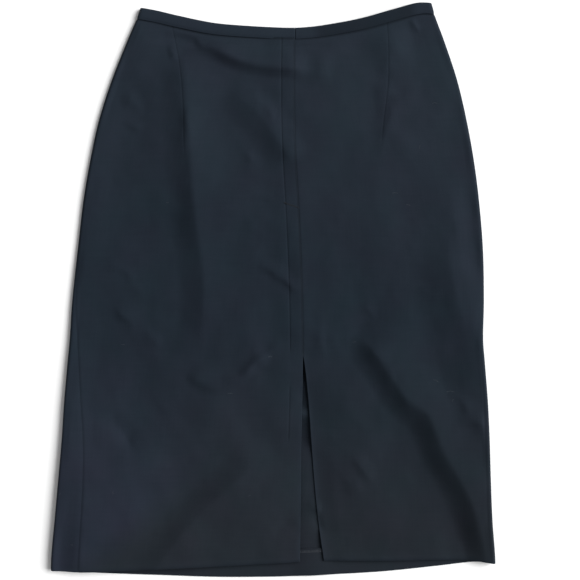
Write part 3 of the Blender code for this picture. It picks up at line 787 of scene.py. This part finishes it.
def waistband():
    """The band, folded along its top and set on the panels, open at the centre back."""
    wall = bpy.context.scene.skirt_cloth.band_wall / MM
    rows = row_shares(BAND_HEIGHT, BAND_SEAM_STEPS, BAND_FOLD_STEPS, BAND_ROWS)
    from_fold, from_seam = (1 - rows) * BAND_HEIGHT, rows * BAND_HEIGHT
    # How deep the outer and the inner face lie, where a folded edge closes in by so much
    depths = (lambda closed: closed + tuck(from_seam)), (lambda closed: wall - closed)
    plain, halves = roll(from_fold, wall / 2), {}
    for side in (RIGHT, LEFT):
        corner = band_top(1.0 if side == RIGHT else 0.0) - BAND_HEIGHT * (1 - rows)
        left, right = left_edge(corner), right_edge(corner)
        shoulder = (right if side == RIGHT else left) - side * BAND_RADIUS
        split, middle = lap_edge(corner) + side * BAND_SPLIT, (left + right) / 2
        ends = np.array(EDGE_STEPS) * side
        even = np.linspace(0, 1, BAND_BACK + 1)[1:, None]
        back = np.concatenate(
            [split + ends[:, None], split + ends[-1] + (shoulder - split - ends[-1]) * even]
        )
        turn = np.linspace(0, 1, BAND_TURN + 1)[1:-1, None]
        floor = shoulder + (middle - shoulder) * np.linspace(0, 1, BAND_FLOOR + 1)[:, None]
        closing = roll(np.minimum(np.abs(back - split), from_fold), wall / 2)
        waves = BAND_WAVE * undulation(back, from_seam + 0 * back, BAND_SEED)
        halves[side] = []
        for depth_of in depths:
            radius, angle = BAND_RADIUS - depth_of(plain), math.pi * (0.5 - turn)
            x = np.concatenate([back, shoulder + side * radius * np.cos(angle), floor])
            z = np.concatenate(
                [
                    2 * BAND_RADIUS - depth_of(closing) + waves,
                    BAND_RADIUS + radius * np.sin(angle),
                    depth_of(plain) + 0 * floor,
                ]
            )
            top = band_top((x - left) / (right - left))
            y = top - (BAND_HEIGHT - SEAM) * (1 - rows)
            halves[side].append(np.stack([x, y, z], axis=-1))
    faces = [np.concatenate([halves[RIGHT][k], halves[LEFT][k][-2::-1]]) for k in (0, 1)]
    steps = np.hypot(*np.moveaxis(np.diff(faces[0][..., [0, 2]], axis=0), -1, 0))
    along = np.concatenate([0 * steps[:1], np.cumsum(steps, axis=0)])
    # Painted shade on a stretch of the band
    x, (low, high) = faces[0][..., 0], BAND_SHADED
    shade_share = BAND_SHADE * smooth((x - low) / SHADE_EASE) * smooth((high - x) / SHADE_EASE)
    edge = np.broadcast_to(from_fold, along.shape)
    return cloth("waistband_cloth", *faces, along, edge, shade_share)


def sewn(name, stitches, finish):
    """Stitches or fibres, each from one point to another with its width and height, in mm."""
    form = bmesh.new()
    for start, end, width, height in stitches:
        run = Vector(end) - Vector(start)
        side = run.cross((0.0, 0.0, 1.0)).normalized()
        turn = Matrix((side, side.cross(run).normalized(), run.normalized())).transposed()
        size = Matrix.Diagonal((width / 2, height / 2, run.length / 2, 1.0))
        middle = (Vector(start) + Vector(end)) / 2 * MM
        bmesh.ops.create_uvsphere(
            form, u_segments=STITCH_SIDES, v_segments=STITCH_RINGS, radius=MM,
            matrix=Matrix.Translation(middle) @ turn.to_4x4() @ size,
        )
    return new_piece(name, form, finish)


def back_points(x, y):
    """Points on the back's outer face."""
    x, y = np.asarray(x, dtype=float), np.asarray(y, dtype=float)
    lapped = x < lap_edge(y)
    z = upper_face(x, y) + np.where(lapped, lap_raise(x, y), 0.0)
    return np.stack([x, y, z], axis=-1)


def overlocking(look):
    """The overlocked edge of the front's hem."""
    share = np.linspace(0, 1, int(LOCKED / LOCK_PITCH))
    y = level(UNDER, 0.0, share) + HEM_DEPTH
    left = left_edge(y) + HEM_CLEAR + LOCK_CLEAR
    x = left + (right_edge(y) - HEM_CLEAR - LOCK_CLEAR - left) * share
    y = level(UNDER, 0.0, share_of(x, y)) + HEM_DEPTH
    top = np.stack([x, y, LIP + front_lift(x, y) + RAW_LIFT], axis=-1)
    low = top - (0.0, LOCK_DEPTH, LOCK_SINK)
    over, following = top + LOCK_OVER, low + (LOCK_PITCH, 0.0, 0.0)
    stitches = []
    for a, b, c in zip(over.tolist(), low.tolist(), following.tolist()):
        stitches += [(a, b, LOCK_THREAD, LOCK_THREAD), (b, c, LOCK_LOOP, LOCK_LOOP)]
    return sewn("hem_overlocking", stitches, thread("overlock_thread", look.overlock))


def topstitching(look):
    """The lap's topstitching, and the bar tack at the zip's end."""
    size, step = look.thickness / MM, (look.stitch + look.gap) / MM
    waist = level(OVER, 1.0, CENTRE) - WAIST_CLEAR
    runs = [np.arange(start, min(end, waist) - step, step) for start, end in STITCHED]
    low = np.concatenate(runs)
    ends = (
        back_points(lap_edge(y) - LAP_WIDTH, y) - (0.0, 0.0, STITCH_SINK)
        for y in (low, low + look.stitch / MM)
    )
    stitches = [(a, b, size, size) for a, b in zip(*(points.tolist() for points in ends))]
    start, end = np.array(BAR_TACK)
    run = (end - start) / math.dist(start, end)
    across = np.array((-run[1], run[0])) * BAR_STITCH / 2
    count = int(math.dist(start, end) / BAR_PITCH)
    middle = start + (end - start) * np.linspace(0, 1, count)[:, None]
    ends = (
        back_points(*(middle + way * across).T) - (0.0, 0.0, BAR_SINK) for way in (-1, 1)
    )
    bulge = BAR_BULGE * size
    stitches += [(a, b, size, bulge) for a, b in zip(*(points.tolist() for points in ends))]
    sewn("topstitching", stitches, thread("topstitch_thread", look.colour))


def lint(look):
    """The lint on the back, each fibre bent in its middle."""
    fibres = []
    for x, y, length, turn in LINT:
        angle, middle = math.radians(turn), np.array((x, y))
        run = np.array((math.cos(angle), math.sin(angle))) * length / 2
        bend = np.array((-run[1], run[0])) * LINT_BEND
        plan = np.stack([middle - run, middle + bend, middle + run])
        points = back_points(*plan.T) + (0.0, 0.0, LINT_LIFT)
        for a, b in zip(points, points[1:]):
            a, b = a - (b - a) * LINT_OVERLAP, b + (b - a) * LINT_OVERLAP
            fibres.append((a.tolist(), b.tolist(), LINT_THICKNESS, LINT_THICKNESS))
    sewn("lint", fibres, thread("lint_fibre", look.lint))


def fill(tree, made, inputs):
    """Sets a node's inputs, given by name or number, to values or to links."""
    for name, value in dict(inputs).items():
        if isinstance(value, bpy.types.NodeSocket):
            tree.links.new(value, made.inputs[name])
        else:
            made.inputs[name].default_value = value


def node(tree, kind, inputs=(), **settings):
    """A shader node with its settings and its inputs."""
    made = tree.nodes.new(kind)
    for name, value in settings.items():
        setattr(made, name, value)
    fill(tree, made, inputs)
    return made


def calculate(tree, operation, *values):
    """One Math node."""
    return node(tree, "ShaderNodeMath", enumerate(values), operation=operation).outputs[0]


def ramp(tree, value, start, end):
    """Goes from 0 to 1 as a value goes from the start to the end."""
    inputs = {"Value": value, "From Min": start, "From Max": end}
    return node(tree, "ShaderNodeMapRange", inputs).outputs[0]


def noise_of(tree, vector, scale, detail=2.0, roughness=0.5):
    """Noise that is stretched where its scale differs between the axes."""
    if not isinstance(scale, float):
        vector = node(tree, "ShaderNodeMapping", {"Vector": vector, "Scale": scale}).outputs[0]
        scale = 1.0
    inputs = {"Vector": vector, "Scale": scale, "Detail": detail, "Roughness": roughness}
    return node(tree, "ShaderNodeTexNoise", inputs).outputs["Fac"]


def blended(tree, factor, a, b, blend="MIX"):
    """A mix of two colours."""
    inputs = {0: factor, 6: a, 7: b}
    return node(tree, "ShaderNodeMix", inputs, data_type="RGBA", blend_type=blend).outputs[2]


def opaque(colour, share=1.0):
    """A colour with its alpha, at this share of its brightness."""
    return (*(share * part for part in colour), 1.0)


def new_group(name, inputs, outputs):
    """A shader node group with its named sockets: its tree, what it is given and its result."""
    tree = bpy.data.node_groups.new(name, "ShaderNodeTree")
    for socket, kind, value in inputs:
        made = tree.interface.new_socket(socket, in_out="INPUT", socket_type=kind)
        if value is not None:
            made.default_value = value
    for socket, kind in outputs:
        tree.interface.new_socket(socket, in_out="OUTPUT", socket_type=kind)
    return tree, tree.nodes.new("NodeGroupInput").outputs, tree.nodes.new("NodeGroupOutput")


def twill_group():
    """The ribs, threads and slubs of a twill, from a map in metres."""
    if "Twill weave" in bpy.data.node_groups:
        return bpy.data.node_groups["Twill weave"]
    tree, given, result = new_group(
        "Twill weave",
        [("Vector", VECTOR, None), ("Pitch", NUMBER, THREAD_PITCH)],
        [("Height", NUMBER), ("Streak", NUMBER)],
    )
    vector = given["Vector"]
    across, up, _ = node(tree, "ShaderNodeSeparateXYZ", {0: vector}).outputs
    turn = calculate(tree, "DIVIDE", 2 * math.pi, given["Pitch"])
    loose = calculate(tree, "MULTIPLY", noise_of(tree, vector, LOOSE_THREADS), LOOSENESS)
    warp = calculate(tree, "MULTIPLY_ADD", across, turn, loose)
    both = calculate(tree, "MULTIPLY_ADD", up, turn, warp)
    rib = calculate(tree, "SINE", calculate(tree, "DIVIDE", both, RIB_THREADS))
    height = calculate(tree, "MULTIPLY_ADD", rib, RIB_HEIGHT, 0.5)
    height = calculate(tree, "MULTIPLY_ADD", calculate(tree, "SINE", warp), THREAD_HEIGHT, height)
    slubs = (noise_of(tree, vector, scale) for scale in (WARP_SLUBS, WEFT_SLUBS))
    streak = calculate(tree, "MULTIPLY", calculate(tree, "ADD", *slubs), 0.5)
    fill(tree, result, {"Height": height, "Streak": streak})
    return tree


def suiting_group():
    """The colour and relief of worn suiting, with painted shade and painted sheen."""
    if "Suiting" in bpy.data.node_groups:
        return bpy.data.node_groups["Suiting"]
    tree, given, result = new_group(
        "Suiting",
        [
            ("Weave map", VECTOR, None), ("Place", VECTOR, None), ("Edge", NUMBER, 0.0),
            ("Sunk", NUMBER, 0.0), ("Pitch", NUMBER, THREAD_PITCH),
            *((name, COLOUR, (1.0, 1.0, 1.0, 1.0)) for name in COLOURS),
        ],
        [("Color", COLOUR), ("Height", NUMBER), ("Roughness", NUMBER)],
    )
    weave_map, place = given["Weave map"], given["Place"]
    inputs = {"Vector": weave_map, "Pitch": given["Pitch"]}
    weave = node(tree, "ShaderNodeGroup", inputs, node_tree=twill_group()).outputs
    cloud, fuzz = noise_of(tree, place, *CLOUDS), noise_of(tree, weave_map, *FUZZ)
    tone = calculate(tree, "MULTIPLY_ADD", weave["Height"], 0.5, cloud)
    tone = calculate(tree, "ADD", tone, weave["Streak"])
    tone = calculate(tree, "MULTIPLY_ADD", fuzz, 0.5, tone)
    base = blended(tree, ramp(tree, tone, *TONES), given["Dark"], given["Light"])
    tint = blended(tree, noise_of(tree, place, TINT_PATCHES), given["Warm"], given["Cool"])
    base = blended(tree, 1.0, base, tint, "MULTIPLY")

    across, up, _ = node(tree, "ShaderNodeSeparateXYZ", {0: place}).outputs
    # Painted shade, darker and warmer towards the hem, and painted sheen on the nap low on the left
    dulled, brushed = ramp(tree, up, *DULLED), ramp(tree, across, *SHEEN_ACROSS)
    leaning = calculate(tree, "MULTIPLY_ADD", up, FOLD_LEAN, across)
    brushed = calculate(tree, "MULTIPLY", brushed, ramp(tree, leaning, *ABOVE_FOLD))
    # Painted sheen below the waistband and high on the right
    rightward = calculate(tree, "MAXIMUM", across, SLANT_START)
    slanting = calculate(tree, "MULTIPLY_ADD", rightward, SLANT, up)
    # the cloth is darker in a band across the seat and thighs
    from_seat = calculate(tree, "ABSOLUTE", calculate(tree, "SUBTRACT", slanting, SEAT))
    near_hem = blended(tree, brushed, given["Dulled"], given["Brushed"])
    pressed, rubbed = ramp(tree, slanting, *SHEEN_UP), ramp(tree, from_seat, *RUBBED)
    for mask, tint in (
        (dulled, near_hem), (pressed, given["Pressed"]), (rubbed, given["Rubbed"])
    ):
        base = blended(tree, mask, base, tint, "MULTIPLY")

    patchy = calculate(tree, "MULTIPLY", noise_of(tree, place, WEAR_PATCHES), given["Edge"])
    base = blended(tree, patchy, base, given["Worn"])
    # Painted shade in the seams, dips and stitching, beside the lap's edge, along the back's hem
    # and on a stretch of the band
    painted_shade = calculate(tree, "MULTIPLY", given["Sunk"], SHADE_STRENGTH)
    base = blended(tree, painted_shade, base, given["Deep"])
    height = calculate(tree, "MULTIPLY_ADD", fuzz, FUZZ_HEIGHT, weave["Height"])
    rough = calculate(tree, "MULTIPLY_ADD", cloud, *CLOTH_ROUGH)
    fill(tree, result, {"Color": base, "Height": height, "Roughness": rough})
    return tree


def new_material(name):
    """A new material, its node tree, its shader and its Object coordinates."""
    made = bpy.data.materials.new(name)
    made.use_nodes = True
    tree = made.node_tree
    place = tree.nodes.new("ShaderNodeTexCoord").outputs["Object"]
    return made, tree, tree.nodes["Principled BSDF"], place


def relief(tree, shader, height, distance, strength):
    """A Bump node that feeds the shader."""
    inputs = {"Strength": strength, "Distance": distance, "Height": height}
    fill(tree, shader, {"Normal": node(tree, "ShaderNodeBump", inputs).outputs[0]})


def suiting():
    """Dark suiting in a fine twill, matt with a slight sheen."""
    if "worn_suiting" in bpy.data.materials:
        return bpy.data.materials["worn_suiting"]
    look = bpy.context.scene.skirt_cloth
    made, tree, shader, place = new_material("worn_suiting")
    inputs = {name: opaque(getattr(look, name.lower())) for name in COLOURS}
    inputs["Weave map"] = node(tree, "ShaderNodeUVMap", uv_map="weave").outputs[0]
    inputs["Place"], inputs["Pitch"] = place, look.thread_pitch
    for mask in ("Edge", "Sunk"):
        reader = node(tree, "ShaderNodeAttribute", attribute_name=mask.lower())
        inputs[mask] = reader.outputs["Fac"]
    group = node(tree, "ShaderNodeGroup", inputs, node_tree=suiting_group()).outputs
    finish = {
        "Base Color": group["Color"], "Roughness": group["Roughness"],
        "Specular IOR Level": CLOTH_GLOSS, "Sheen Weight": look.sheen,
        "Sheen Roughness": SHEEN_ROUGH, "Sheen Tint": opaque(SHEEN_TINT),
    }
    fill(tree, shader, finish)
    relief(tree, shader, group["Height"], *CLOTH_RELIEF)
    return made


def thread(name, colour):
    """Twisted sewing thread."""
    made, tree, shader, place = new_material(name)
    twist = noise_of(tree, place, THREAD_TWIST)
    base = blended(tree, twist, opaque(colour, THREAD_DARK), opaque(colour))
    rough = calculate(tree, "MULTIPLY_ADD", twist, *THREAD_ROUGH)
    finish = {"Base Color": base, "Roughness": rough, "Specular IOR Level": THREAD_GLOSS}
    fill(tree, shader, finish)
    relief(tree, shader, twist, *THREAD_RELIEF)
    return made


def zip_fabric():
    """The woven tape of the zip and its coil, dyed to match."""
    look = bpy.context.scene.skirt_cloth
    made, tree, shader, place = new_material("zip_fabric")
    inputs = {"Vector": place, "Pitch": 2 * look.thread_pitch}
    weave = node(tree, "ShaderNodeGroup", inputs, node_tree=twill_group()).outputs
    base = blended(tree, weave["Streak"], opaque(look.dark, TAPE_DARK), opaque(look.dark))
    rough = calculate(tree, "MULTIPLY_ADD", weave["Streak"], *TAPE_ROUGH)
    fill(tree, shader, {"Base Color": base, "Roughness": rough})
    relief(tree, shader, weave["Height"], *TAPE_RELIEF)
    return made


def enamel():
    """Dark enamel on the zip's slider, rubbed through here and there."""
    made, tree, shader, place = new_material("dark_enamel")
    bare = ramp(tree, noise_of(tree, place, *CHIPS), *CHIPPED)
    base = blended(tree, bare, opaque(ENAMEL), opaque(BARE_METAL))
    rough = calculate(tree, "MULTIPLY_ADD", bare, *ENAMEL_ROUGH)
    fill(tree, shader, {"Base Color": base, "Metallic": bare, "Roughness": rough})
    return made


def length_setting(name, description, default, least, most):
    """A length as a setting, in metres."""
    return bpy.props.FloatProperty(
        name=name, description=description, default=default, min=least, max=most, precision=5,
        unit="LENGTH", subtype="DISTANCE",
    )


def colour_setting(name, description, default, most=1.0):
    """A colour as a setting, or a tint, which may go past 1."""
    return bpy.props.FloatVectorProperty(
        name=name, description=description, size=3, default=default, min=0.0, max=most,
        subtype="COLOR",
    )


def tint_setting(name, description, default):
    """A tint of the cloth as a setting."""
    return colour_setting(f"{name} tint", f"Tints the cloth {description}", default, 2.0)


class SkirtCloth(bpy.types.PropertyGroup):
    """Sizes and colours of the cloth."""

    wall: length_setting("Cloth", "Thickness of one layer of suiting", 0.0006, 0.0003, 0.0012)
    band_wall: length_setting("Waistband", "Thickness of the folded band", 0.0019, 0.001, 0.003)
    thread_pitch: length_setting(
        "Thread pitch", "From one thread of the weave to the next", THREAD_PITCH, 0.0001, 0.002
    )
    sheen: bpy.props.FloatProperty(
        name="Sheen", description="Soft gloss of the cloth's nap", default=0.02, min=0.0,
        max=1.0, subtype="FACTOR",
    )
    dark: colour_setting("Dark yarn", "The suiting's darker yarns", (0.0066, 0.0104, 0.016))
    light: colour_setting("Light yarn", "The suiting's lighter yarns", (0.0146, 0.0208, 0.0298))
    worn: colour_setting("Rubbed cloth", "Suiting rubbed along its edges", (0.017, 0.024, 0.034))
    # The colour of the painted shade in seams, dips and stitching, beside the lap's edge, along the
    # back's hem and on a stretch of the band
    deep: colour_setting("Seam shade", "Suiting in a seam or by the lap", (0.004, 0.006, 0.009))
    warm: tint_setting("Warm", "in its warmer patches", (1.2, 0.98, 1.06))
    cool: tint_setting("Cool", "in its cooler patches", (0.86, 1.05, 0.98))
    # Painted shade: the cloth darker and warmer towards the hem
    dulled: tint_setting("Hem", "that is dulled by wear near the hem", (1.04, 0.93, 0.84))
    # Painted sheen on the nap, low on the left
    brushed: tint_setting("Brushed", "whose nap is brushed up, low on the left", (1.2, 1.08, 1.14))
    # Painted sheen below the waistband and high on the right
    pressed: tint_setting("Pressed", "that is pressed flat below the waistband", (1.1, 1.1, 1.08))
    # The cloth darker in a band across the seat and thighs
    rubbed: tint_setting("Rubbed", "over the seat and thighs, rubbed by wear", (0.86, 0.9, 0.91))


class SkirtThread(bpy.types.PropertyGroup):
    """Sizes and colours of the sewing thread."""

    stitch: length_setting("Stitch", "Length of one topstitch", 0.0025, 0.001, 0.006)
    gap: length_setting("Gap", "Between one topstitch and the next", 0.0006, 0.0002, 0.003)
    thickness: length_setting("Thread", "Thickness of the topstitching", 0.0005, 0.0002, 0.001)
    colour: colour_setting("Topstitching", "Colour of the topstitches", (0.006, 0.0085, 0.012))
    overlock: colour_setting("Overlocking", "Colour of the overlocked edge", (0.07, 0.076, 0.088))
    lint: colour_setting("Lint", "Colour of the lint", (0.06, 0.07, 0.085))


class SkirtStage(bpy.types.PropertyGroup):
    """The floor, the light and the camera."""

    floor: colour_setting("Floor", "Colour of the floor", (0.86, 0.86, 0.86))
    key: bpy.props.FloatProperty(
        name="Key light", description="Strength of the main light", default=5.85, min=0.0,
    )
    fill: bpy.props.FloatProperty(
        name="Fill", description="Strength of the light from all round", default=0.36, min=0.0,
    )
    height: length_setting("Camera height", "Height of the camera over the floor", 1.5, 0.5, 10.0)


class SKIRT_OT_front(bpy.types.Operator):
    """Make the front, which lies underneath and turns over at both sides"""

    bl_idname = "skirt.front"
    bl_label = "Front"

    def execute(self, context):
        made = front_cloth()
        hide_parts("front_panel")
        return {"FINISHED"}


class SKIRT_OT_front_hem(bpy.types.Operator):
    """Make the front's turned-up hem with its overlocked edge"""

    bl_idname = "skirt.front_hem"
    bl_label = "Front hem"

    def execute(self, context):
        made, edge = front_hem_cloth(), overlocking(context.scene.skirt_thread)
        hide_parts("front_hem")
        return {"FINISHED"}


class SKIRT_OT_back_left(bpy.types.Operator):
    """Make the left back, with its dart, the lap over the zip and one edge of the slit"""

    bl_idname = "skirt.back_left"
    bl_label = "Left back"

    def execute(self, context):
        made = back_panel("back_left_cloth", LEFT, left_dart, lap_edge, (LAP_WIDTH,), LEFT_COLUMNS)
        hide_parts("back_left")
        return {"FINISHED"}


class SKIRT_OT_back_right(bpy.types.Operator):
    """Make the right back, with its dart and the slit's other edge"""

    bl_idname = "skirt.back_right"
    bl_label = "Right back"

    def execute(self, context):
        made = back_panel("back_right_cloth", RIGHT, right_dart, under_edge, (), RIGHT_COLUMNS)
        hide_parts("back_right")
        return {"FINISHED"}


class SKIRT_OT_waistband(bpy.types.Operator):
    """Make the waistband"""

    bl_idname = "skirt.waistband"
    bl_label = "Waistband"

    def execute(self, context):
        made = waistband()
        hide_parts("waistband")
        return {"FINISHED"}


class SKIRT_OT_zip(bpy.types.Operator):
    """Finish the zip's tape, coil and slider"""

    bl_idname = "skirt.zip"
    bl_label = "Zip"

    def execute(self, context):
        for name, finish in (("zip_tape", zip_fabric()), ("zip_slider", enamel())):
            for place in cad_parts[name].material_slots:
                place.link = "OBJECT"
                place.material = finish
        return {"FINISHED"}


class SKIRT_OT_topstitching(bpy.types.Operator):
    """Sew the lap's topstitching and the bar at the zip's end"""

    bl_idname = "skirt.topstitching"
    bl_label = "Topstitching"

    def execute(self, context):
        topstitching(context.scene.skirt_thread)
        return {"FINISHED"}


class SKIRT_OT_lint(bpy.types.Operator):
    """Scatter the lint that clings to the cloth"""

    bl_idname = "skirt.lint"
    bl_label = "Lint"

    def execute(self, context):
        lint(context.scene.skirt_thread)
        return {"FINISHED"}


class SKIRT_OT_stage(bpy.types.Operator):
    """Set the floor, the light and the camera that looks straight down"""

    bl_idname = "skirt.stage"
    bl_label = "Stage"

    def execute(self, context):
        scene, look = context.scene, context.scene.skirt_stage
        form = bmesh.new()
        bmesh.ops.create_grid(form, x_segments=1, y_segments=1, size=FLOOR_HALF)
        bmesh.ops.translate(form, verts=form.verts, vec=(0.0, 0.0, -FLOOR_GAP))
        finish, tree, shader, place = new_material("floor")
        shade = noise_of(tree, place, FLOOR_PATCHES)
        base = blended(tree, shade, opaque(look.floor, FLOOR_SHADE), opaque(look.floor))
        fill(tree, shader, {"Base Color": base, "Roughness": FLOOR_ROUGH})
        placed_mesh("floor", form, finish)

        light = bpy.data.lights.new("key", "SUN")
        light.angle, light.energy = math.radians(KEY_SPREAD), look.key
        key = placed("key", light)
        across, up = (math.radians(angle) for angle in KEY_PLACE)
        away = Vector(
            (math.cos(across) * math.cos(up), math.sin(across) * math.cos(up), math.sin(up))
        )
        key.location = Vector(AIM) + away * KEY_DISTANCE
        key.rotation_euler = away.to_track_quat("Z", "Y").to_euler()

        world = bpy.data.worlds.new("studio")
        world.use_nodes = True
        surroundings = {"Strength": look.fill, "Color": (1.0, 1.0, 1.0, 1.0)}
        fill(world.node_tree, world.node_tree.nodes["Background"], surroundings)
        scene.world = world
        scene.view_settings.view_transform = "Standard"

        lens = bpy.data.cameras.new("camera")
        lens.sensor_width = SENSOR
        lens.lens = SENSOR * (look.height - AIM[2]) / FRAME_WIDTH
        scene.camera = placed("camera", lens)
        scene.camera.location = (AIM[0], AIM[1], look.height)
        return {"FINISHED"}


STEPS = (
    SKIRT_OT_stage,
    SKIRT_OT_front,
    SKIRT_OT_front_hem,
    SKIRT_OT_back_left,
    SKIRT_OT_back_right,
    SKIRT_OT_waistband,
    SKIRT_OT_zip,
    SKIRT_OT_topstitching,
    SKIRT_OT_lint,
)
SETTINGS = {"skirt_cloth": SkirtCloth, "skirt_thread": SkirtThread, "skirt_stage": SkirtStage}


class SKIRT_PT_pieces(bpy.types.Panel):
    """The skirt's settings and pieces"""

    bl_idname = "SKIRT_PT_pieces"
    bl_label = "Pencil Skirt"
    bl_space_type = "VIEW_3D"
    bl_region_type = "UI"
    bl_category = "Skirt"

    def draw(self, context):
        for name, group in SETTINGS.items():
            box = self.layout.box()
            for setting in group.__annotations__:
                box.prop(getattr(context.scene, name), setting)
        for step in STEPS:
            self.layout.operator(step.bl_idname)


def register():
    for made in (*SETTINGS.values(), *STEPS, SKIRT_PT_pieces):
        bpy.utils.register_class(made)
    for name, group in SETTINGS.items():
        setattr(bpy.types.Scene, name, bpy.props.PointerProperty(type=group))


def unregister():
    for name in SETTINGS:
        delattr(bpy.types.Scene, name)
    for made in reversed((*SETTINGS.values(), *STEPS, SKIRT_PT_pieces)):
        bpy.utils.unregister_class(made)


def main():
    """Makes every piece."""
    register()
    for step in STEPS:
        group, name = step.bl_idname.split(".")
        getattr(getattr(bpy.ops, group), name)()


if __name__ == "__main__":
    main()
